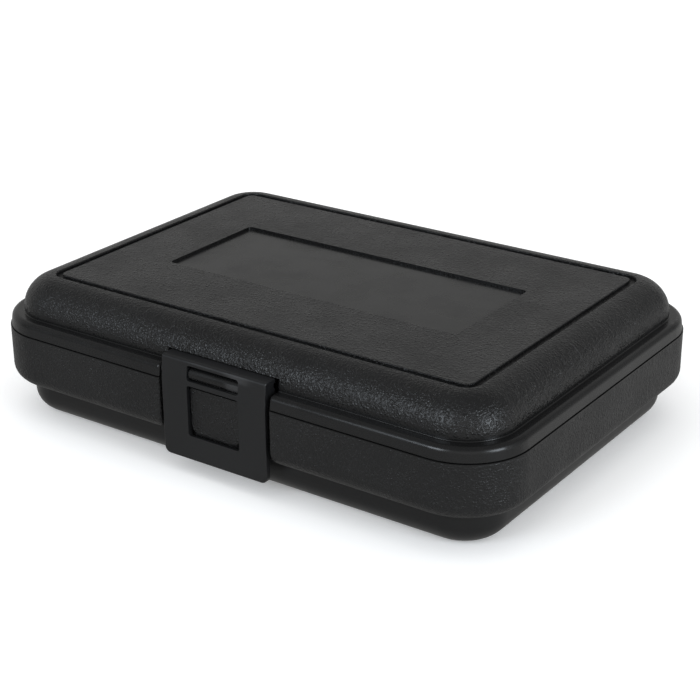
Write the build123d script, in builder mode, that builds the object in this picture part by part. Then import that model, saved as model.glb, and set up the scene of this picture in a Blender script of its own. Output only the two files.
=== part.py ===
"""Hinged carry case for gaming miniatures, with a snap latch and foam inserts.

Frame: millimetres, +Z up, +X along the long side, the latch on the -Y side.
The origin is the middle of the case's flat underside.
"""
import os

from build123d import *

# ---- driving dimensions -------------------------------------------------
CASE_L = 216.0  # along X
CASE_D = 154.0  # along Y
CASE_H = 52.0
CORNER_R = 23.4  # plan corners at the rim
PARTING_Z = 34.1  # top of the base's rim
PARTING_GAP = 0.35  # the lid's rim stops this far above the base's

# base, outside; an inset is measured in from the plan outline
PANEL_LOW_Z = 13.4
PANEL_ROLL_R = 5.7
FOOT_INSET = 7.3
FOOT_R = 8.5
STEP_R = 1.0

# base, inside
CAVITY_INSET = 10.2
FLOOR_Z = 4.4
LIP_T = 1.5
LIP_H = 2.2
VOID_SKIN = 1.8
VOID_LOW_Z = 15.7
VOID_BEVEL = 2.5
VOID_FRONT_INSET = 4.8  # behind the latch recess
BLOW_HOLE_R = 1.5
BLOW_HOLE_Z = 24.6

# lid, outside
RIM_INSET = 0.4
RIM_TAPER = 7.5
FLANGE_H = 4.7
BEAD_R = 2.2
FLANGE_END_R = 1.0
DOME_INSET = 5.4
SHOULDER_R = 12.0
COVE_R = 0.3
TOP_GROOVE_INSET = 19.1
TOP_GROOVE_W = 2.4
TOP_GROOVE_DEPTH = 1.2
TOP_GROOVE_EDGE_R = 0.4
LABEL_L = 125.0
LABEL_D = 48.4
LABEL_R = 1.5
LABEL_DEPTH = 1.05

# lid, inside
LID_CAVITY_INSET = 8.0
LID_TOP_T = 2.4
LID_SHOULDER_R = 9.6

# latch; heights are above or below the parting plane
LATCH_W = 44.4
LATCH_TOP = 9.15
LATCH_BOTTOM = -27.6
LATCH_T = 2.2
LATCH_LEAN = 0.8  # the top edge leans in from the rim's face
LATCH_LIP_DEPTH = 6.0
LATCH_SHANK_DEPTH = 5.2
LATCH_CORNER_R = 2.4
LATCH_EDGE_R = 0.5
LATCH_TOP_R = 1.2
WINDOW_W = 22.0
WINDOW_R = 1.0
SLOT_LOW = 2.0
SLOT_HIGH = 7.5
KEEPER_WINDOW_LOW = -18.4
KEEPER_WINDOW_HIGH = 0.3
CROSSBAR_T = 1.3
LOWER_BAR_T = 1.05  # over the window's width, so that it passes the keeper
LOWER_RIM_T = 1.9
LOWER_RIM_H = 1.5

# latch pivot, on the nose of the lid's flange
PIVOT_INSET = 3.4
PIVOT_UP = 3.8
PINTLE_R = 1.2
PINTLE_REACH = 2.4
PINTLE_ROOT = 0.5  # how far it starts inside the leg
PINTLE_CLEARANCE = 0.05
NOSE_R = 2.6
NOSE_W = 21.4
NECK_FRONT = 1.65
NECK_BACK = 6.6
LEG_EYE_R = 3.0
SWING_R = 6.15  # what the latch's top edge sweeps, with clearance
POCKET_FLOOR = 1.9
LEG_SLOT_BACK = 7.2
POCKET_WALL_INSET = 11.2
POCKET_WALL_W = 52.0
POCKET_WALL_H = 12.0

# recess in the base that the latch lies in, and the keeper in its window
RECESS_W = 47.0
RECESS_DEPTH = 2.8
RECESS_CORNER_R = 5.0
RECESS_EDGE_R = 1.2
KEEPER_W = 20.8
KEEPER_INSET = 1.25
KEEPER_TOP = -0.9
KEEPER_LOW = -17.6
KEEPER_CORNER_R = 3.5

# rear hinges
HINGE_X = 58.0
LEAF_W = 46.0
LEAF_H = 11.5
KNUCKLE_R = 4.0
BASE_KNUCKLE_L = 13.0
KNUCKLE_GAP = 0.3
AXIS_OUT = 3.6  # hinge axis behind the case's rear face
PIN_R = 1.5
PIN_CLEARANCE = 0.06
PIN_SHORT = 0.3
PIN_BEVEL = 0.3
SWEEP_CLEARANCE = 0.35

# foam inserts
FOAM_GAP = 0.4
FLOOR_PAD_T = 4.0
SHEET_GAP = 0.2
TRAY_DOWN = 0.3  # below the parting plane
POCKET_COLUMNS = 7
POCKET_ROWS = 2
POCKET_X = 19.0
POCKET_Y = 50.0
POCKET_R = 4.0
POCKET_PITCH_X = 26.6
POCKET_PITCH_Y = 60.0
LID_PAD_UP = 2.7  # above the parting plane
LID_PAD_INSET = 9.0
LID_PAD_R = 8.5

# ---- worked out from the above ------------------------------------------
LID_Z = PARTING_Z + PARTING_GAP
FRONT_Y = -CASE_D / 2
REAR_Y = CASE_D / 2
PIVOT_Z = PARTING_Z + PIVOT_UP
AXIS_Y = REAR_Y + AXIS_OUT
LEAF_FACE_Y = AXIS_Y - PARTING_GAP
LID_KNUCKLE_L = LEAF_W - 2 * BASE_KNUCKLE_L - 2 * KNUCKLE_GAP
CAVITY_TOP_Z = CASE_H - LID_TOP_T
LIP_INSET = CAVITY_INSET - LIP_T
OVERCUT = 2.0
SIDES = (-1, 1)


def outline(inset, mode=Mode.ADD):
    """The case's plan outline, drawn in by an inset, in the sketch being built."""
    RectangleRounded(CASE_L - 2 * inset, CASE_D - 2 * inset, CORNER_R - inset, mode=mode)


def plan(z):
    """The level plane at a height."""
    return Plane.XY.offset(z)


def front(inset):
    """A plane that faces the front, this far in from the front face; its local y is +Z."""
    return Plane.XZ.offset(-FRONT_Y - inset)


def section(x):
    """A plane across the case at x: its local x is the inset from the front, its y is +Z."""
    return Plane(origin=(x, FRONT_Y, 0), x_dir=(0, 1, 0), z_dir=(1, 0, 0))


def span(low, high, mode=Mode.ADD):
    """A rectangle from one corner to the opposite one, in the sketch being built."""
    with Locations(((low[0] + high[0]) / 2, (low[1] + high[1]) / 2)):
        Rectangle(high[0] - low[0], high[1] - low[1], mode=mode)


def cylinder_x(middle, radius, length, mode=Mode.ADD):
    """A cylinder along X, by its middle."""
    with Locations(middle):
        Cylinder(radius, length, rotation=(0, 90, 0), mode=mode)


def flat_faces(part):
    """The part's level faces, lowest first."""
    return part.faces().filter_by(Axis.Z).sort_by(Axis.Z)


def same_edges(part, kept):
    """The part's edges whose middles are those of edges kept from before a fillet."""
    middles = [edge.center() for edge in kept]
    return part.edges().filter_by(
        lambda edge: any((edge.center() - middle).length < 0.01 for middle in middles)
    )


# ---- base shell ----------------------------------------------------------
with BuildPart() as base_shell:
    with BuildSketch():
        outline(FOOT_INSET)
    extrude(amount=PANEL_LOW_Z + OVERCUT)
    fillet(flat_faces(base_shell)[0].edges(), FOOT_R)

    with BuildSketch(plan(PANEL_LOW_Z)):
        outline(0)
    extrude(amount=PARTING_Z - PANEL_LOW_Z)
    underside = flat_faces(base_shell)[1]
    step = underside.inner_wires()[0].edges()
    fillet(underside.outer_wire().edges(), PANEL_ROLL_R)
    fillet(same_edges(base_shell, step), STEP_R)

    # the inner skin stands up past the rim as a lip, and surrounds the cavity
    with BuildSketch(plan(PARTING_Z)):
        outline(LIP_INSET)
        span(
            (-POCKET_WALL_W / 2 - OVERCUT, FRONT_Y),
            (POCKET_WALL_W / 2 + OVERCUT, FRONT_Y + CAVITY_INSET + OVERCUT),
            Mode.SUBTRACT,
        )
    extrude(amount=LIP_H)
    with BuildSketch(plan(FLOOR_Z)):
        outline(CAVITY_INSET)
    extrude(amount=CASE_H, mode=Mode.SUBTRACT)

    # latch recess; the panel's lower corners beside it are rounded
    with BuildSketch(front(RECESS_DEPTH)):
        span((-RECESS_W / 2, PANEL_LOW_Z - OVERCUT), (RECESS_W / 2, PARTING_Z + OVERCUT))
        for side in SIDES:
            low_corner = (side * (RECESS_W + RECESS_CORNER_R) / 2, PANEL_LOW_Z + RECESS_CORNER_R / 2)
            round_middle = (side * (RECESS_W / 2 + RECESS_CORNER_R), PANEL_LOW_Z + RECESS_CORNER_R)
            with Locations(low_corner):
                Rectangle(RECESS_CORNER_R, RECESS_CORNER_R)
            with Locations(round_middle):
                Circle(RECESS_CORNER_R, mode=Mode.SUBTRACT)
    extrude(amount=RECESS_DEPTH + OVERCUT, mode=Mode.SUBTRACT)
    recess_edges = base_shell.edges().filter_by(Axis.Z).filter_by(
        lambda edge: abs(abs(edge.center().X) - RECESS_W / 2) < 0.01
        and edge.center().Y < FRONT_Y + RIM_INSET
    )
    fillet(recess_edges, RECESS_EDGE_R)

    # keeper that fills the latch's window
    with BuildSketch(front(LIP_INSET)) as keeper:
        span((-KEEPER_W / 2, PARTING_Z + KEEPER_LOW), (KEEPER_W / 2, PARTING_Z + KEEPER_TOP))
        fillet(keeper.vertices().group_by(Axis.Y)[0], KEEPER_CORNER_R)
    extrude(amount=LIP_INSET - KEEPER_INSET)

    # air space between the skins of the side walls, with its blowing hole at the back
    for low_z, high_z, skin in (
        (VOID_LOW_Z, VOID_LOW_Z + VOID_BEVEL, VOID_SKIN + VOID_BEVEL),
        (VOID_LOW_Z + VOID_BEVEL, PARTING_Z - VOID_SKIN, VOID_SKIN),
    ):
        with BuildSketch(plan(low_z)):
            outline(skin)
            outline(CAVITY_INSET - VOID_SKIN, mode=Mode.SUBTRACT)
            span(
                (-RECESS_W / 2 - OVERCUT, FRONT_Y),
                (RECESS_W / 2 + OVERCUT, FRONT_Y + VOID_FRONT_INSET),
                Mode.SUBTRACT,
            )
        extrude(amount=high_z - low_z, mode=Mode.SUBTRACT)
    with BuildSketch(Plane.XZ.offset(-REAR_Y)):
        with Locations((0, BLOW_HOLE_Z)):
            Circle(BLOW_HOLE_R)
    extrude(amount=CAVITY_INSET - VOID_SKIN - OVERCUT, mode=Mode.SUBTRACT)

    # hinge leaves and knuckles
    for side in SIDES:
        with BuildSketch(plan(PARTING_Z - LEAF_H)):
            span(
                (side * HINGE_X - LEAF_W / 2, REAR_Y - VOID_SKIN),
                (side * HINGE_X + LEAF_W / 2, LEAF_FACE_Y),
            )
        extrude(amount=LEAF_H)
        cylinder_x(
            (side * HINGE_X, AXIS_Y, PARTING_Z),
            KNUCKLE_R + SWEEP_CLEARANCE,
            LID_KNUCKLE_L + 2 * KNUCKLE_GAP,
            Mode.SUBTRACT,
        )
        for end in SIDES:
            knuckle_x = side * HINGE_X + end * (LEAF_W - BASE_KNUCKLE_L) / 2
            cylinder_x((knuckle_x, AXIS_Y, PARTING_Z), KNUCKLE_R, BASE_KNUCKLE_L)
            cylinder_x((knuckle_x, AXIS_Y, PARTING_Z), PIN_R, BASE_KNUCKLE_L, Mode.SUBTRACT)
base_shell.part.label = "base_shell"

# ---- lid shell -----------------------------------------------------------
with BuildPart() as lid_core:
    with BuildSketch(plan(LID_Z)):
        outline(LID_CAVITY_INSET)
    extrude(amount=CAVITY_TOP_Z - LID_Z)
    fillet(flat_faces(lid_core)[-1].edges(), LID_SHOULDER_R)

with BuildPart() as lid_shell:
    with BuildSketch(plan(LID_Z)):
        outline(RIM_INSET)
    extrude(amount=FLANGE_H, taper=RIM_TAPER)
    fillet(flat_faces(lid_shell)[-1].edges(), BEAD_R)

    with BuildSketch(plan(LID_Z)):
        outline(DOME_INSET)
    extrude(amount=CASE_H - LID_Z)
    flange_top = flat_faces(lid_shell)[1]
    dome_foot = flange_top.inner_wires()[0].edges()
    fillet(flat_faces(lid_shell)[-1].edges(), SHOULDER_R)
    fillet(same_edges(lid_shell, dome_foot), COVE_R)

    # groove inside the shoulder, and the label's recess
    with BuildSketch(plan(CASE_H - TOP_GROOVE_DEPTH)):
        outline(TOP_GROOVE_INSET - TOP_GROOVE_W / 2)
        outline(TOP_GROOVE_INSET + TOP_GROOVE_W / 2, mode=Mode.SUBTRACT)
    extrude(amount=CASE_H, mode=Mode.SUBTRACT)
    fillet(lid_shell.edges().group_by(Axis.Z)[-1], TOP_GROOVE_EDGE_R)
    with BuildSketch(plan(CASE_H - LABEL_DEPTH)):
        RectangleRounded(LABEL_L, LABEL_D, LABEL_R)
    extrude(amount=CASE_H, mode=Mode.SUBTRACT)

    # cavity, then the wall of the latch's pocket inside it
    add(lid_core.part, mode=Mode.SUBTRACT)
    with BuildSketch(section(-POCKET_WALL_W / 2)):
        span((DOME_INSET + OVERCUT, LID_Z), (POCKET_WALL_INSET, PARTING_Z + POCKET_WALL_H))
    extrude(amount=POCKET_WALL_W)

    # pocket that the latch's top swings into
    with BuildSketch(section(-RECESS_W / 2)):
        with Locations((PIVOT_INSET, PIVOT_Z)):
            Circle(SWING_R)
        span((-OVERCUT, LID_Z), (PIVOT_INSET, PARTING_Z + LATCH_TOP))
        span((-OVERCUT, LID_Z - SWING_R), (CAVITY_INSET, PARTING_Z + POCKET_FLOOR), Mode.SUBTRACT)
    extrude(amount=RECESS_W, mode=Mode.SUBTRACT)
    with BuildSketch(plan(LID_Z)):
        span((-RECESS_W / 2, FRONT_Y - OVERCUT), (RECESS_W / 2, FRONT_Y + LEG_SLOT_BACK))
        span((-NOSE_W / 2, FRONT_Y + NECK_FRONT), (NOSE_W / 2, 0), Mode.SUBTRACT)
    extrude(amount=POCKET_FLOOR, mode=Mode.SUBTRACT)

    # the pocket's upright corners are rounded
    pocket_corners = lid_shell.edges().filter_by(
        lambda edge: abs(abs(edge.center().X) - RECESS_W / 2) < 0.01
        and edge.center().Y < FRONT_Y + BEAD_R
    )
    fillet(pocket_corners, FLANGE_END_R)

    # nose that the latch pivots on, with a blind hole in each end
    with BuildSketch(section(-NOSE_W / 2)):
        with Locations((PIVOT_INSET, PIVOT_Z)):
            Circle(NOSE_R)
        span((NECK_FRONT, LID_Z), (NECK_BACK, PIVOT_Z))
    extrude(amount=NOSE_W)
    for side in SIDES:
        hole_depth = PINTLE_REACH + PINTLE_CLEARANCE
        cylinder_x(
            (side * (NOSE_W - hole_depth) / 2, FRONT_Y + PIVOT_INSET, PIVOT_Z),
            PINTLE_R + PINTLE_CLEARANCE,
            hole_depth,
            Mode.SUBTRACT,
        )

    # hinge leaves and knuckles
    for side in SIDES:
        with BuildSketch(plan(LID_Z)):
            span(
                (side * HINGE_X - LEAF_W / 2, REAR_Y - DOME_INSET - 1),
                (side * HINGE_X + LEAF_W / 2, LEAF_FACE_Y),
            )
        extrude(amount=FLANGE_H)
        for end in SIDES:
            cylinder_x(
                (side * HINGE_X + end * (LEAF_W - BASE_KNUCKLE_L) / 2, AXIS_Y, PARTING_Z),
                KNUCKLE_R + SWEEP_CLEARANCE,
                BASE_KNUCKLE_L + 2 * KNUCKLE_GAP,
                Mode.SUBTRACT,
            )
        cylinder_x((side * HINGE_X, AXIS_Y, PARTING_Z), KNUCKLE_R, LID_KNUCKLE_L)
        cylinder_x(
            (side * HINGE_X, AXIS_Y, PARTING_Z),
            PIN_R + PIN_CLEARANCE,
            LID_KNUCKLE_L,
            Mode.SUBTRACT,
        )
lid_shell.part.label = "lid_shell"

# ---- latch ---------------------------------------------------------------
with BuildPart() as latch:
    # plate and top lip, in section; above the parting plane the face leans in
    with BuildSketch(section(-LATCH_W / 2)):
        with BuildLine():
            Polyline(
                (0, PARTING_Z + LATCH_BOTTOM),
                (0, PARTING_Z + KEEPER_WINDOW_HIGH),
                (LATCH_LEAN, PARTING_Z + LATCH_TOP),
                (LATCH_LIP_DEPTH, PARTING_Z + LATCH_TOP),
                (LATCH_LIP_DEPTH, PARTING_Z + SLOT_HIGH),
                (LATCH_LEAN + LATCH_T, PARTING_Z + SLOT_HIGH),
                (LATCH_T, PARTING_Z + KEEPER_WINDOW_HIGH),
                (LATCH_T, PARTING_Z + LATCH_BOTTOM),
                close=True,
            )
        make_face()
    extrude(amount=LATCH_W)
    bottom_corners = latch.edges().filter_by(Axis.Y).sort_by(Axis.Z)[:2]
    fillet(bottom_corners, LATCH_CORNER_R)
    top_edges = latch.edges().filter_by(Axis.X).group_by(Axis.Z)[-1]
    fillet(top_edges.sort_by(Axis.Y)[0], LATCH_TOP_R)
    lower_face = latch.faces().sort_by(Axis.Y)[0]
    lower_outline = lower_face.edges().sort_by(Axis.Z)[:-1]
    fillet(lower_outline, LATCH_EDGE_R)

    # legs that carry the pintles, thick above the rim
    for low_x in (-LATCH_W / 2, WINDOW_W / 2):
        with BuildSketch(section(low_x)):
            with Locations((PIVOT_INSET, PIVOT_Z)):
                Circle(LEG_EYE_R)
            span((LATCH_LEAN + LATCH_T / 2, PIVOT_Z), (LATCH_SHANK_DEPTH, PARTING_Z + SLOT_HIGH))
        extrude(amount=(LATCH_W - WINDOW_W) / 2)

    # slot that shows the nose, and the keeper's window
    for low, high in ((SLOT_LOW, SLOT_HIGH), (KEEPER_WINDOW_LOW, KEEPER_WINDOW_HIGH)):
        with BuildSketch(front(LATCH_SHANK_DEPTH + LEG_EYE_R)):
            with Locations((0, PARTING_Z + (low + high) / 2)):
                RectangleRounded(WINDOW_W, high - low, WINDOW_R)
        extrude(amount=LATCH_SHANK_DEPTH + LEG_EYE_R + OVERCUT, mode=Mode.SUBTRACT)

    # the crossbar is thin, to turn past the nose; the lower bar passes the keeper
    with BuildSketch(section(-WINDOW_W / 2)):
        span(
            (CROSSBAR_T, PARTING_Z + KEEPER_WINDOW_HIGH - OVERCUT),
            (CAVITY_INSET, PARTING_Z + SLOT_LOW + WINDOW_R),
        )
        span(
            (LOWER_BAR_T, PARTING_Z + LATCH_BOTTOM + LOWER_RIM_H),
            (CAVITY_INSET, PARTING_Z + KEEPER_WINDOW_LOW + OVERCUT),
        )
        span(
            (LOWER_RIM_T, PARTING_Z + LATCH_BOTTOM - OVERCUT),
            (CAVITY_INSET, PARTING_Z + LATCH_BOTTOM + LOWER_RIM_H),
        )
    extrude(amount=WINDOW_W, mode=Mode.SUBTRACT)
    for side in SIDES:
        pintle_middle = side * (WINDOW_W - PINTLE_REACH + PINTLE_ROOT) / 2
        cylinder_x(
            (pintle_middle, FRONT_Y + PIVOT_INSET, PIVOT_Z), PINTLE_R, PINTLE_REACH + PINTLE_ROOT
        )
latch.part.label = "latch"

# ---- hinge pins ----------------------------------------------------------
pins = []
for side, pin_name in zip(SIDES, ("hinge_pin_left", "hinge_pin_right")):
    with BuildPart() as hinge_pin:
        cylinder_x((side * HINGE_X, AXIS_Y, PARTING_Z), PIN_R, LEAF_W - 2 * PIN_SHORT)
        chamfer(hinge_pin.edges().filter_by(GeomType.CIRCLE), PIN_BEVEL)
    hinge_pin.part.label = pin_name
    pins.append(hinge_pin.part)

# ---- foam: pad on the base's floor ---------------------------------------
with BuildPart() as floor_pad:
    with BuildSketch(plan(FLOOR_Z)):
        outline(CAVITY_INSET + FOAM_GAP)
    extrude(amount=FLOOR_PAD_T)
floor_pad.part.label = "floor_pad"

# ---- foam: tray with a die-cut pocket for each figure ----------------------
tray_low_z = FLOOR_Z + FLOOR_PAD_T + SHEET_GAP
with BuildPart() as figure_tray:
    with BuildSketch(plan(tray_low_z)):
        outline(CAVITY_INSET + FOAM_GAP)
        with GridLocations(POCKET_PITCH_X, POCKET_PITCH_Y, POCKET_COLUMNS, POCKET_ROWS):
            RectangleRounded(POCKET_X, POCKET_Y, POCKET_R, mode=Mode.SUBTRACT)
    extrude(amount=PARTING_Z - TRAY_DOWN - tray_low_z)
figure_tray.part.label = "figure_tray"

# ---- foam: pad in the lid, notched around the latch's pocket ---------------
pad_low_z = PARTING_Z + LID_PAD_UP
with BuildPart() as lid_pad:
    with BuildSketch(plan(pad_low_z)):
        outline(LID_PAD_INSET)
        span(
            (-POCKET_WALL_W / 2 - 1, FRONT_Y),
            (POCKET_WALL_W / 2 + 1, FRONT_Y + POCKET_WALL_INSET + FOAM_GAP),
            Mode.SUBTRACT,
        )
    extrude(amount=CAVITY_TOP_Z - SHEET_GAP - pad_low_z)
    pad_top = flat_faces(lid_pad)[-1]
    fillet(pad_top.edges(), LID_PAD_R)
lid_pad.part.label = "lid_pad"

# ---- files ---------------------------------------------------------------
os.makedirs("parts", exist_ok=True)
finished = [part.part for part in (base_shell, lid_shell, latch, floor_pad, figure_tray, lid_pad)]
for piece in finished + pins:
    export_step(piece, f"parts/{piece.label}.step")
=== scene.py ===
"""Looks of the miniature carry case: plastic, steel and foam, studio and camera.

Lengths are in metres, in the CAD frame: +Z up, +X along the long side, the latch on the -Y side.
"""
import math

import bmesh
import bpy
from mathutils import Matrix, Vector, noise


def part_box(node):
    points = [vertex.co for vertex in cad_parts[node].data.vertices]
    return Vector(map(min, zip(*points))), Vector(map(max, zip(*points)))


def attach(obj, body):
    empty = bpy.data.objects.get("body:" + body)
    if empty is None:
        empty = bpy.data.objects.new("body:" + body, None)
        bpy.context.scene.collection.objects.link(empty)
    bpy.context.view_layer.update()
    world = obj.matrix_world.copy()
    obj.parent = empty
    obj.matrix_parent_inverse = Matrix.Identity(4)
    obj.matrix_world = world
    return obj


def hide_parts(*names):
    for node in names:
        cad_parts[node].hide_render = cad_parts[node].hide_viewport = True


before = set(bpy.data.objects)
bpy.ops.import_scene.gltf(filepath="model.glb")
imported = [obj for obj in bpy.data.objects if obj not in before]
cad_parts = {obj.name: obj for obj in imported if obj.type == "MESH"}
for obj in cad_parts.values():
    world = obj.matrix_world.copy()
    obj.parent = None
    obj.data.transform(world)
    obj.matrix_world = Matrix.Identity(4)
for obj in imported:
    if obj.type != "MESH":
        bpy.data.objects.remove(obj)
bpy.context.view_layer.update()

MM = 0.001

# ---- places on the case, from the CAD parts -------------------------------
CASE_HALF = (108 * MM, 77 * MM)
CASE_CORNER = 23.4 * MM
PARTING_Z = 34.1 * MM
PANEL_LOW_Z = 13.4 * MM
DOME_FOOT_Z = 39.15 * MM  # top of the lid's flange
LID_SHOULDER = (17.4 * MM, 40.0 * MM)  # middle of the shoulder's round: inset and height
LID_SKIN_R = 10.1 * MM  # between the inner and outer faces of that round
LID_SKIN_BLUR = 0.3 * MM
LID_TOP_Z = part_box("lid_shell")[1][2]
LABEL_HALF = (62.5 * MM, 24.2 * MM)
LABEL_FLOOR_RISE = (2.0 * MM, 1.6 * MM)  # below the top: where the label's mask starts and is whole
EDGE_BLUR = 0.1 * MM
LID_GRAIN_START = (0.8 * MM, 2.8 * MM)  # above the flange
BASE_GRAIN_START = (0.3 * MM, 1.6 * MM)  # above the panel's lower edge
BASE_GRAIN_STOP = (0.3 * MM, 0.7 * MM)  # below the parting line
BASE_GRAIN_INSET = (6.5 * MM, 5.0 * MM)  # the recess and the inside are plain

# ---- node helpers ----------------------------------------------------------


def feed(tree, socket, value):
    """Links an output to a socket, or sets the socket's own value."""
    if isinstance(value, bpy.types.NodeSocket):
        tree.links.new(value, socket)
    else:
        socket.default_value = value


def add_node(tree, kind, inputs=(), **settings):
    made = tree.nodes.new(kind)
    for name, value in settings.items():
        setattr(made, name, value)
    for name, value in dict(inputs).items():
        feed(tree, made.inputs[name], value)
    return made


def calc(tree, operation, *values):
    """A Math node's result."""
    made = add_node(tree, "ShaderNodeMath", operation=operation)
    for socket, value in zip(made.inputs, values):
        feed(tree, socket, value)
    return made.outputs[0]


def product(tree, *values):
    result = values[0]
    for value in values[1:]:
        result = calc(tree, "MULTIPLY", result, value)
    return result


def total(tree, *values):
    result = values[0]
    for value in values[1:]:
        result = calc(tree, "ADD", result, value)
    return result


def inverse(tree, value):
    return calc(tree, "SUBTRACT", 1.0, value)


def rise(tree, value, start, end, low=0.0, high=1.0):
    """Goes smoothly from low to high as the value goes from start to end."""
    limits = {"Value": value, "From Min": start, "From Max": end, "To Min": low, "To Max": high}
    made = add_node(tree, "ShaderNodeMapRange", limits, interpolation_type="SMOOTHSTEP")
    return made.outputs["Result"]


def mix_colour(tree, factor, first, second):
    """A Mix node's colour. Its colour sockets are numbers 6 and 7, and its colour output is 2."""
    inputs = {"Factor": factor, 6: first, 7: second}
    return add_node(tree, "ShaderNodeMix", inputs, data_type="RGBA").outputs[2]


def stretched(tree, point, scale, turn=0.0):
    """The point, turned about Z and scaled along each axis."""
    inputs = {"Vector": point, "Scale": scale, "Rotation": (0, 0, turn)}
    return add_node(tree, "ShaderNodeMapping", inputs, vector_type="POINT").outputs[0]


def noise_at(tree, point, scale, detail=2.0, rough=0.5):
    inputs = {"Vector": point, "Scale": scale, "Detail": detail, "Roughness": rough}
    return add_node(tree, "ShaderNodeTexNoise", inputs).outputs["Fac"]


def cells_at(tree, point, scale, smooth=None):
    """Distance to the nearest cell middle, about 0 to 0.8, softened where smooth is given."""
    inputs = {"Vector": point, "Scale": scale}
    if smooth is None:
        return add_node(tree, "ShaderNodeTexVoronoi", inputs, feature="F1").outputs["Distance"]
    inputs["Smoothness"] = smooth
    return add_node(tree, "ShaderNodeTexVoronoi", inputs, feature="SMOOTH_F1").outputs["Distance"]


def vector_math(tree, operation, inputs):
    return add_node(tree, "ShaderNodeVectorMath", inputs, operation=operation).outputs


def start_material(name):
    """A new material, its node tree, its shader, and the point in the CAD frame."""
    material = bpy.data.materials.new(name)
    material.use_nodes = True
    tree = material.node_tree
    shader = tree.nodes["Principled BSDF"]
    point = add_node(tree, "ShaderNodeTexCoord").outputs["Object"]
    return material, tree, shader, point


def split(tree, point):
    """The point's x, y and z."""
    return add_node(tree, "ShaderNodeSeparateXYZ", {"Vector": point}).outputs[:3]


def finish_shader(tree, shader, colour, roughness, height):
    """Height is in metres."""
    bump = add_node(tree, "ShaderNodeBump", {"Height": height, "Distance": 1.0, "Strength": 1.0})
    feed(tree, shader.inputs["Base Color"], colour)
    feed(tree, shader.inputs["Roughness"], roughness)
    feed(tree, shader.inputs["Normal"], bump.outputs["Normal"])


# ---- masks over the case ---------------------------------------------------


def plan_inset(tree, x, y):
    """Distance in from the case's rounded plan outline."""
    over = [
        calc(tree, "SUBTRACT", calc(tree, "ABSOLUTE", value), half - CASE_CORNER)
        for value, half in zip((x, y), CASE_HALF)
    ]
    beyond = [calc(tree, "MAXIMUM", value, 0.0) for value in over]
    squares = [calc(tree, "POWER", value, 2.0) for value in beyond]
    corner = calc(tree, "SQRT", total(tree, *squares))
    within = calc(tree, "MINIMUM", calc(tree, "MAXIMUM", *over), 0.0)
    return calc(tree, "SUBTRACT", CASE_CORNER, total(tree, corner, within))


def label_mask(tree, x, y, z):
    """1 on the label's recess."""
    sides = [
        rise(tree, calc(tree, "ABSOLUTE", value), half + EDGE_BLUR, half - EDGE_BLUR)
        for value, half in zip((x, y), LABEL_HALF)
    ]
    high = rise(tree, z, *(LID_TOP_Z - below for below in LABEL_FLOOR_RISE))
    return product(tree, *sides, high)


def lid_grain(tree, point):
    """1 where the lid is pebbled: its dome and top outside, but not the rim or the label."""
    x, y, z = split(tree, point)
    inset = plan_inset(tree, x, y)
    dome = rise(tree, z, *(DOME_FOOT_Z + above for above in LID_GRAIN_START))
    over = calc(tree, "MAXIMUM", calc(tree, "SUBTRACT", LID_SHOULDER[0], inset), 0.0)
    rising = calc(tree, "MAXIMUM", calc(tree, "SUBTRACT", z, LID_SHOULDER[1]), 0.0)
    squares = [calc(tree, "POWER", value, 2.0) for value in (over, rising)]
    reach = calc(tree, "SQRT", total(tree, *squares))
    outside = rise(tree, reach, LID_SKIN_R, LID_SKIN_R + LID_SKIN_BLUR)
    plain = inverse(tree, label_mask(tree, x, y, z))
    return product(tree, dome, outside, plain)


def base_grain(tree, point):
    """1 where the base is pebbled: its side panels and the keeper, but not the foot."""
    x, y, z = split(tree, point)
    inset = plan_inset(tree, x, y)
    low = rise(tree, z, *(PANEL_LOW_Z + above for above in BASE_GRAIN_START))
    high = rise(tree, z, *(PARTING_Z - below for below in BASE_GRAIN_STOP))
    outside = rise(tree, inset, *BASE_GRAIN_INSET)
    return product(tree, low, high, outside)


# ---- materials -------------------------------------------------------------
# Texture scales are in cells per metre.
GRAIN_HEIGHT = 0.30 * MM
WAVE_HEIGHT = 0.08 * MM
SPECK_HEIGHT = 0.004 * MM
SCRATCH_DEPTH = 0.01 * MM
SCRATCH_COLOUR = (0.06, 0.061, 0.064, 1)
PEBBLE_SIZES = (  # scale, distance of a pebble's foot from its middle, share of the height
    (520.0, 0.62, 0.24), (1050.0, 0.6, 0.5), (2000.0, 0.58, 0.26),
)
PEBBLE_TOP = 0.08
PEBBLE_SOFT = 0.3
PEBBLE_WARP = 1.1 * MM
PLASTIC_SPECULAR = 0.5
PLASTIC_IOR = 1.5
STEEL_COLOURS = ((0.52, 0.52, 0.53, 1), (0.36, 0.355, 0.35, 1))
DRAWN_HEIGHT = 0.01 * MM
STRUT_HEIGHT = 0.22 * MM
PORE_HEIGHT = 0.08 * MM
FOAM_WAVE_HEIGHT = 0.5 * MM
FOAM_SPECULAR = 0.2
FOAM_SHEEN = 0.25
FOAM_SHEEN_ROUGHNESS = 0.5


def pebbles(tree, point):
    """Height of the moulded pebble grain, 0 to about 1."""
    warp = add_node(tree, "ShaderNodeTexNoise", {"Vector": point, "Scale": 420.0, "Detail": 2.0})
    shift = vector_math(tree, "SCALE", {0: warp.outputs["Color"], "Scale": PEBBLE_WARP})[0]
    moved = vector_math(tree, "ADD", {0: point, 1: shift})[0]
    heights = []
    for scale, foot, share in PEBBLE_SIZES:
        cells = cells_at(tree, moved, scale, PEBBLE_SOFT)
        heights.append(product(tree, rise(tree, cells, foot, PEBBLE_TOP), share))
    uneven = noise_at(tree, point, 150.0)
    return product(tree, total(tree, *heights), rise(tree, uneven, 0.25, 0.7, 0.6, 1.0))


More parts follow.
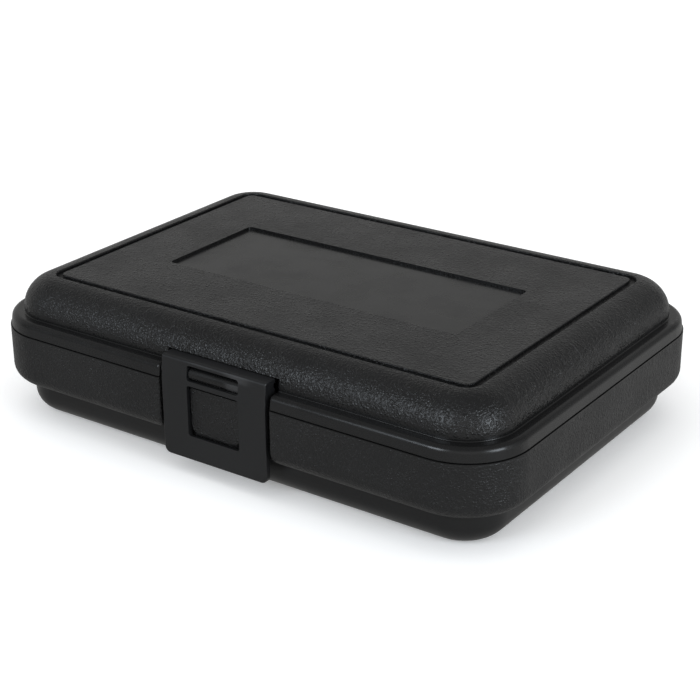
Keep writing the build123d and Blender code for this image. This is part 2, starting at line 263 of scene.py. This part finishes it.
def scratches(tree, point):
    """1 along a few fine hairline scratches."""
    lines = []
    for turn, seed in ((0.5, 3.0), (2.2, 8.0)):
        moved = stretched(tree, point, (14.0, 900.0, 14.0), turn)
        band = noise_at(tree, moved, 1.0 + 0.01 * seed, 1.0)
        where = noise_at(tree, point, 34.0 + seed, 1.0)
        line = rise(tree, band, 0.70, 0.74)
        lines.append(product(tree, line, rise(tree, where, 0.55, 0.68)))
    return calc(tree, "MAXIMUM", *lines)


def make_plastic(name, grain, dark, light, smooth_rough, grain_rough):
    """Black moulded plastic. grain(tree, point) is 1 where it is pebbled, and None if nowhere."""
    material, tree, shader, point = start_material(name)
    mask = grain(tree, point) if grain else 0.0
    grains = pebbles(tree, point) if grain else 0.0
    broad = noise_at(tree, point, 22.0, 3.0)
    speck = noise_at(tree, point, 1600.0)
    waves = noise_at(tree, point, 38.0, 1.0)
    flow = noise_at(tree, stretched(tree, point, (6.0, 6.0, 60.0)), 12.0, 3.0)
    scuff = scratches(tree, point)

    tone = rise(tree, total(tree, product(tree, broad, 0.7), product(tree, speck, 0.3)), 0.3, 0.7)
    colour = mix_colour(tree, tone, dark, light)
    worn = mix_colour(tree, product(tree, scuff, 0.35), colour, SCRATCH_COLOUR)

    blotch = rise(tree, noise_at(tree, point, 55.0, 4.0, 0.6), 0.35, 0.7, -0.035, 0.045)
    rough = rise(tree, mask, 0.0, 1.0, smooth_rough, grain_rough)
    polish = product(tree, mask, rise(tree, grains, 0.2, 0.8, 0.06, -0.05))
    drift = rise(tree, flow, 0.3, 0.7, -0.015, 0.02)
    roughness = total(tree, rough, blotch, drift, polish, product(tree, scuff, 0.12))

    height = total(
        tree,
        product(tree, grains, mask, GRAIN_HEIGHT),
        product(tree, waves, WAVE_HEIGHT),
        product(tree, speck, SPECK_HEIGHT),
        product(tree, scuff, -SCRATCH_DEPTH),
    )
    finish_shader(tree, shader, worn, roughness, height)
    shader.inputs["Specular IOR Level"].default_value = PLASTIC_SPECULAR
    shader.inputs["IOR"].default_value = PLASTIC_IOR
    return material


def make_steel(name):
    """Drawn steel wire, dull, with marks along its length."""
    material, tree, shader, point = start_material(name)
    drawn = noise_at(tree, stretched(tree, point, (18.0, 1500.0, 1500.0)), 1.0, 3.0)
    stain = noise_at(tree, point, 160.0, 3.0)
    colour = mix_colour(tree, rise(tree, stain, 0.35, 0.75), *STEEL_COLOURS)
    roughness = total(
        tree, rise(tree, drawn, 0.3, 0.7, 0.26, 0.4), rise(tree, stain, 0.4, 0.8, 0.0, 0.12)
    )
    finish_shader(tree, shader, colour, roughness, product(tree, drawn, DRAWN_HEIGHT))
    shader.inputs["Metallic"].default_value = 1.0
    return material


def make_foam(name, dark, light, cell):
    """Charcoal open-cell foam: pores a cell wide, with a soft fuzz of cut strut ends, and painted
    shade that darkens the pore middles.
    """
    material, tree, shader, point = start_material(name)
    pores = cells_at(tree, point, 1.0 / cell, 0.25)
    fine = cells_at(tree, point, 2.6 / cell)
    broad = noise_at(tree, point, 45.0, 3.0)
    fuzz = noise_at(tree, point, 2600.0)
    # Bump of the struts, and painted shade: the colour below is darker in the pore middles, where
    # this is low.
    struts_and_pore_shade = rise(tree, pores, 0.15, 0.6)
    # Painted shade in the pores, from the strut mask and the finer cells, plus random broad tone.
    tone = total(
        tree, product(tree, struts_and_pore_shade, 0.55), product(tree, broad, 0.3), product(tree, fine, 0.25)
    )
    colour = mix_colour(tree, rise(tree, tone, 0.2, 0.85), dark, light)
    roughness = rise(tree, fuzz, 0.3, 0.7, 0.82, 0.97)
    height = total(
        tree,
        product(tree, struts_and_pore_shade, STRUT_HEIGHT),
        product(tree, fine, PORE_HEIGHT),
        product(tree, broad, FOAM_WAVE_HEIGHT),
    )
    finish_shader(tree, shader, colour, roughness, height)
    shader.inputs["Specular IOR Level"].default_value = FOAM_SPECULAR
    shader.inputs["Sheen Weight"].default_value = FOAM_SHEEN
    shader.inputs["Sheen Roughness"].default_value = FOAM_SHEEN_ROUGHNESS
    return material


SHELL_COLOURS = ((0.0046, 0.0046, 0.0048, 1), (0.0074, 0.0074, 0.0077, 1))
LATCH_COLOURS = ((0.0062, 0.0064, 0.007, 1), (0.0086, 0.0088, 0.0096, 1))
# For the foams, the darker colour is partly painted shade in the pores; the mix also follows random
# tone.
TRAY_COLOURS = ((0.010, 0.010, 0.011, 1), (0.034, 0.0345, 0.037, 1))
PAD_COLOURS = ((0.014, 0.014, 0.0155, 1), (0.048, 0.049, 0.052, 1))
LID_ROUGHNESS = (0.26, 0.27)  # smooth and pebbled
BASE_ROUGHNESS = (0.34, 0.33)
LATCH_ROUGHNESS = (0.40, 0.40)

lid_plastic = make_plastic("lid_plastic", lid_grain, *SHELL_COLOURS, *LID_ROUGHNESS)
base_plastic = make_plastic("base_plastic", base_grain, *SHELL_COLOURS, *BASE_ROUGHNESS)
latch_plastic = make_plastic("latch_plastic", None, *LATCH_COLOURS, *LATCH_ROUGHNESS)
pin_steel = make_steel("pin_steel")
tray_foam = make_foam("tray_foam", *TRAY_COLOURS, cell=0.75 * MM)
pad_foam = make_foam("pad_foam", *PAD_COLOURS, cell=0.85 * MM)


def dress(obj, material):
    """The object has this one material."""
    obj.data.materials.clear()
    obj.data.materials.append(material)


for node_name, finish in (
    ("base_shell", base_plastic),
    ("lid_shell", lid_plastic),
    ("latch", latch_plastic),
    ("hinge_pin_left", pin_steel),
    ("hinge_pin_right", pin_steel),
):
    dress(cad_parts[node_name], finish)

# ---- foam inserts ----------------------------------------------------------
FOAM_CLEAR = 0.25 * MM  # each insert stays this far inside its CAD solid
POCKET_SIZE = (19 * MM, 50 * MM)
POCKET_PITCH = (26.6 * MM, 60 * MM)
POCKET_COUNT = (7, 2)
POCKET_CORNER = 4 * MM
BOX_CLEAR = 0.1 * MM  # and this far inside its CAD solid's box
WELD_DISTANCE = 0.01 * MM


def rounded_loop(middle, half, radius, steps=8):
    """Points round a rounded rectangle in plan."""
    points = []
    for index, (sx, sy) in enumerate(((1, 1), (-1, 1), (-1, -1), (1, -1))):
        for step in range(steps + 1):
            angle = math.radians(90 * (index + step / steps))
            x = middle[0] + sx * (half[0] - radius) + radius * math.cos(angle)
            y = middle[1] + sy * (half[1] - radius) + radius * math.sin(angle)
            points.append((x, y))
    return points


def slab_mesh(name, loops, low, high, bevel, voxel):
    """A closed block of even, soft-edged mesh. The first loop is its outline, the others holes."""
    curve = bpy.data.curves.new(name, "CURVE")
    curve.dimensions = "2D"
    curve.fill_mode = "BOTH"
    curve.extrude = (high - low) / 2 - bevel
    curve.bevel_depth = bevel
    curve.bevel_resolution = 3
    curve.offset = -bevel
    for loop in loops:
        spline = curve.splines.new("POLY")
        spline.points.add(len(loop) - 1)
        for place, (x, y) in zip(spline.points, loop):
            place.co = (x, y, 0, 1)
        spline.use_cyclic_u = True
    draft = bpy.data.objects.new(name, curve)
    bpy.context.scene.collection.objects.link(draft)
    graph = bpy.context.evaluated_depsgraph_get()
    mesh = bpy.data.meshes.new_from_object(draft.evaluated_get(graph))
    bpy.data.objects.remove(draft)
    bpy.data.curves.remove(curve)
    mesh.transform(Matrix.Translation((0, 0, (low + high) / 2)))

    obj = bpy.data.objects.new(name, mesh)
    bpy.context.scene.collection.objects.link(obj)
    shape = bmesh.new()
    shape.from_mesh(mesh)
    bmesh.ops.remove_doubles(shape, verts=shape.verts, dist=WELD_DISTANCE)
    bmesh.ops.recalc_face_normals(shape, faces=shape.faces)
    shape.to_mesh(mesh)
    shape.free()
    remesh = obj.modifiers.new("remesh", "REMESH")
    remesh.mode = "VOXEL"
    remesh.voxel_size = voxel
    remesh.use_smooth_shade = True
    graph = bpy.context.evaluated_depsgraph_get()
    even = bpy.data.meshes.new_from_object(obj.evaluated_get(graph))
    even.name = name
    obj.modifiers.clear()
    obj.data = even
    return obj


def sculpt(obj, move):
    """Moves each vertex to move(point)."""
    for vertex in obj.data.vertices:
        vertex.co = move(vertex.co.copy())
    obj.data.update()


def keep_inside(obj, node_name):
    """Stops the insert at its CAD solid's box, less a clearance."""
    lows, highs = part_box(node_name)
    sculpt(obj, lambda point: Vector([
        min(max(value, low + BOX_CLEAR), high - BOX_CLEAR)
        for value, low, high in zip(point, lows, highs)
    ]))


def soft_noise(point, size, seed):
    """Smooth noise, about -1 to 1, with bumps of this size."""
    return noise.noise(point / size + Vector((seed, seed, seed)))


def finish_insert(obj, node_name, body, material):
    dress(obj, material)
    for face in obj.data.polygons:
        face.use_smooth = True
    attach(obj, body)
    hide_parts(node_name)


tray_low, tray_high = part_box("figure_tray")
outer_half = (tray_high[0] - FOAM_CLEAR, tray_high[1] - FOAM_CLEAR)
outer_corner = CASE_CORNER - (CASE_HALF[0] - tray_high[0])

# figure tray: die-cut pockets with soft top edges
tray_loops = [rounded_loop((0, 0), outer_half, outer_corner)]
pocket_half = (POCKET_SIZE[0] / 2 + FOAM_CLEAR, POCKET_SIZE[1] / 2 + FOAM_CLEAR)
for column in range(POCKET_COUNT[0]):
    for row in range(POCKET_COUNT[1]):
        middle = (
            (column - (POCKET_COUNT[0] - 1) / 2) * POCKET_PITCH[0],
            (row - (POCKET_COUNT[1] - 1) / 2) * POCKET_PITCH[1],
        )
        tray_loops.append(rounded_loop(middle, pocket_half, POCKET_CORNER)[::-1])
tray = slab_mesh(
    "foam_tray", tray_loops, tray_low[2] + FOAM_CLEAR, tray_high[2] - FOAM_CLEAR,
    bevel=0.9 * MM, voxel=1.3 * MM,
)


def settle_tray(point):
    """The top sinks a little, unevenly, and the floor stays."""
    height = (point.z - tray_low[2]) / (tray_high[2] - tray_low[2])
    sag = 0.25 * MM + 0.35 * MM * soft_noise(point, 30 * MM, 1.7)
    point.z -= max(sag, 0.0) * height
    return point


sculpt(tray, settle_tray)
keep_inside(tray, "figure_tray")
finish_insert(tray, "figure_tray", "base", tray_foam)

# floor pad under the tray
floor_low, floor_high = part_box("floor_pad")
floor_pad = slab_mesh(
    "foam_floor_pad", [rounded_loop((0, 0), outer_half, outer_corner)],
    floor_low[2] + FOAM_CLEAR, floor_high[2] - FOAM_CLEAR, bevel=0.8 * MM, voxel=1.5 * MM,
)


def settle_floor_pad(point):
    return point + Vector((0, 0, 0.12 * MM * soft_noise(point, 14 * MM, 5.1)))


sculpt(floor_pad, settle_floor_pad)
keep_inside(floor_pad, "floor_pad")
finish_insert(floor_pad, "floor_pad", "base", pad_foam)

# lid pad: convoluted foam, its knobs facing down
pad_low, pad_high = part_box("lid_pad")
PAD_CORNER = CASE_CORNER - (CASE_HALF[0] - pad_high[0])
NOTCH_HALF = 27 * MM
NOTCH_Y = -65.4 * MM
KNOB_PITCH = 19 * MM
KNOB_DEPTH = 5.6 * MM
KNOB_FULLNESS = 0.85  # below 1, the knobs are narrower than the hollows
PAD_SHOULDER_R = 8.5 * MM


def pad_outline():
    """The lid pad's plan, notched at the front around the latch's pocket."""
    half = (pad_high[0] - FOAM_CLEAR, pad_high[1] - FOAM_CLEAR)
    points = rounded_loop((0, 0), half, PAD_CORNER)
    notch = [
        (-NOTCH_HALF - FOAM_CLEAR, -half[1]),
        (-NOTCH_HALF - FOAM_CLEAR, NOTCH_Y + FOAM_CLEAR),
        (NOTCH_HALF + FOAM_CLEAR, NOTCH_Y + FOAM_CLEAR),
        (NOTCH_HALF + FOAM_CLEAR, -half[1]),
    ]
    turn = len(points) * 3 // 4
    return points[:turn] + notch + points[turn:]


def edge_inset(x, y):
    """Distance in from the lid pad's outline, without its notch."""
    over_x = abs(x) - (pad_high[0] - PAD_CORNER)
    over_y = abs(y) - (pad_high[1] - PAD_CORNER)
    corner = math.hypot(max(over_x, 0), max(over_y, 0))
    return PAD_CORNER - corner - min(max(over_x, over_y), 0)


def convolute(point):
    """Knobs and hollows below, and the rounded shoulder of the lid's ceiling above."""
    height = (point.z - pad_low[2]) / (pad_high[2] - pad_low[2])
    wave = math.cos(math.tau * point.x / KNOB_PITCH) * math.cos(math.tau * point.y / KNOB_PITCH)
    hollow = KNOB_DEPTH * (0.5 - 0.5 * wave) ** KNOB_FULLNESS
    uneven = 0.2 * MM * soft_noise(point, 9 * MM, 2.3)
    point.z += hollow * (1 - height) + uneven * (1 - height)
    inset = max(edge_inset(point.x, point.y), 0.0)
    if inset < PAD_SHOULDER_R:
        reach = PAD_SHOULDER_R - inset
        drop = PAD_SHOULDER_R - math.sqrt(max(PAD_SHOULDER_R ** 2 - reach ** 2, 0.0))
        point.z = min(point.z, pad_high[2] - drop - FOAM_CLEAR)
    point.z = max(point.z, pad_low[2])
    return point


lid_pad = slab_mesh(
    "foam_lid_pad", [pad_outline()], pad_low[2] + FOAM_CLEAR, pad_high[2] - FOAM_CLEAR,
    bevel=1.2 * MM, voxel=1.4 * MM,
)
sculpt(lid_pad, convolute)
keep_inside(lid_pad, "lid_pad")
finish_insert(lid_pad, "lid_pad", "lid", pad_foam)

# ---- camera ----------------------------------------------------------------
CAMERA_AZIMUTH = math.radians(35.147)
CAMERA_ELEVATION = math.radians(23.286)
CAMERA_ROLL = math.radians(-0.377)
CAMERA_PLACE = Vector((329.2, -464.28, 267.63)) * MM
LENS_MM = 85.92
SENSOR_MM = 36
NEAR_CLIP = 10 * MM


def make_camera():
    """The photograph's viewpoint."""
    back = Vector((
        math.sin(CAMERA_AZIMUTH) * math.cos(CAMERA_ELEVATION),
        -math.cos(CAMERA_AZIMUTH) * math.cos(CAMERA_ELEVATION),
        math.sin(CAMERA_ELEVATION),
    ))
    level = Vector((math.cos(CAMERA_AZIMUTH), math.sin(CAMERA_AZIMUTH), 0))
    upward = back.cross(level)
    right = level * math.cos(CAMERA_ROLL) + upward * math.sin(CAMERA_ROLL)
    up = upward * math.cos(CAMERA_ROLL) - level * math.sin(CAMERA_ROLL)
    turn = Matrix((right, up, back)).transposed().to_4x4()
    data = bpy.data.cameras.new("camera")
    data.lens = LENS_MM
    data.sensor_width = SENSOR_MM
    data.clip_start = NEAR_CLIP
    camera = bpy.data.objects.new("camera", data)
    camera.matrix_world = Matrix.Translation(CAMERA_PLACE) @ turn
    bpy.context.scene.collection.objects.link(camera)
    bpy.context.scene.camera = camera


make_camera()

# ---- floor and light -------------------------------------------------------
FLOOR_SIZE = 30
FLOOR_DROP = 0.05 * MM
FLOOR_COLOURS = ((0.90, 0.90, 0.90, 1), (0.93, 0.93, 0.93, 1))
FLOOR_GLOW = 0.22
ROOM_COLOUR = (1.0, 1.0, 0.985, 1)
ROOM_BELOW = (-0.97, -0.72, 1.25, 1.0)  # height from and to, as sines, and strengths there
ROOM_LOW = (-0.85, 0.0, 0.28, 0.45)
ROOM_HIGH = (0.25, 0.85, 1.0, 0.42)
GROUND_BRIGHTNESS = 1.05  # what the camera sees past the floor
ROOM_PATCHES = (  # towards (azimuth, elevation), cosines at edge and middle, strength there
    ((150, -12), 0.92, 0.99, 1.45),
    ((142, 20), 0.84, 0.96, 0.58),
    ((-38, -5), 0.50, 0.93, 0.80),
    ((38, 26), 0.85, 0.97, 1.4),
    ((-46, 16), 0.84, 0.98, 0.50),
)
LIGHT_DISTANCE = 1.6
WINDOW_COLOUR = (0.84, 0.92, 1.0)
WINDOWS = (  # name, towards (azimuth, elevation), power in watts, width and height
    ("left_window", (-14, 28), 6.6, (0.64, 0.5)),
    ("right_window", (82, 19), 8.8, (0.56, 0.7)),
)
CEILING_TOWARDS = (20, 80)
CEILING_STRENGTH = 2.2
CEILING_SPREAD = math.radians(120)


def make_floor():
    """A plain pale floor. The case's gloss sees the room's grey in its place."""
    bpy.ops.mesh.primitive_plane_add(size=FLOOR_SIZE, location=(0, 0, -FLOOR_DROP))
    floor = bpy.context.object
    floor.name = "studio_floor"
    floor.visible_glossy = False
    material, tree, shader, point = start_material("studio_floor")
    tone = noise_at(tree, point, 2.0)
    shader.inputs["Roughness"].default_value = 0.85
    shader.inputs["Specular IOR Level"].default_value = 0.1
    colour = mix_colour(tree, tone, *FLOOR_COLOURS)
    feed(tree, shader.inputs["Base Color"], colour)
    feed(tree, shader.inputs["Emission Color"], colour)
    shader.inputs["Emission Strength"].default_value = FLOOR_GLOW
    floor.data.materials.append(material)


def light_towards(azimuth, elevation):
    """The direction to a light: azimuth 0 is in front, and 90 is on the +X side."""
    azimuth, elevation = math.radians(azimuth), math.radians(elevation)
    return Vector((
        math.sin(azimuth) * math.cos(elevation),
        -math.cos(azimuth) * math.cos(elevation),
        math.sin(elevation),
    ))


def add_light(name, kind, towards, power):
    """A light that shines on the case from this direction."""
    data = bpy.data.lights.new(name, kind)
    data.energy = power
    lamp = bpy.data.objects.new(name, data)
    direction = light_towards(*towards)
    lamp.location = direction * LIGHT_DISTANCE
    lamp.rotation_euler = direction.to_track_quat("Z", "Y").to_euler()
    bpy.context.scene.collection.objects.link(lamp)
    return lamp


def make_lights():
    """A wide light from above that the gloss doesn't see, and two windows that it does."""
    ceiling = add_light("ceiling", "SUN", CEILING_TOWARDS, CEILING_STRENGTH)
    ceiling.data.angle = CEILING_SPREAD
    ceiling.visible_glossy = False
    for name, towards, power, size in WINDOWS:
        window = add_light(name, "AREA", towards, power).data
        window.color = WINDOW_COLOUR
        window.shape = "RECTANGLE"
        window.size, window.size_y = size


def facing(tree, place, direction):
    """Cosine of the angle between a place in the room and a direction."""
    return vector_math(tree, "DOT_PRODUCT", {0: place, 1: direction})["Value"]


def make_world():
    """A grey room for the gloss, palest round the horizon, and plain white for the camera."""
    world = bpy.data.worlds.new("studio")
    bpy.context.scene.world = world
    world.use_nodes = True
    tree = world.node_tree
    place = add_node(tree, "ShaderNodeTexCoord").outputs["Generated"]
    up = split(tree, place)[2]
    heights = [rise(tree, up, *limits) for limits in (ROOM_BELOW, ROOM_LOW, ROOM_HIGH)]
    patches = [
        rise(tree, facing(tree, place, light_towards(*towards)), edge, middle, 1.0, strength)
        for towards, edge, middle, strength in ROOM_PATCHES
    ]
    room = product(tree, *heights, *patches)
    seen = add_node(tree, "ShaderNodeLightPath").outputs["Is Camera Ray"]
    ground = product(tree, seen, GROUND_BRIGHTNESS)
    strength = total(tree, product(tree, room, inverse(tree, seen)), ground)
    background = tree.nodes["Background"]
    feed(tree, background.inputs["Strength"], strength)
    background.inputs["Color"].default_value = ROOM_COLOUR


make_floor()
make_world()
make_lights()
bpy.context.scene.view_settings.view_transform = "Standard"
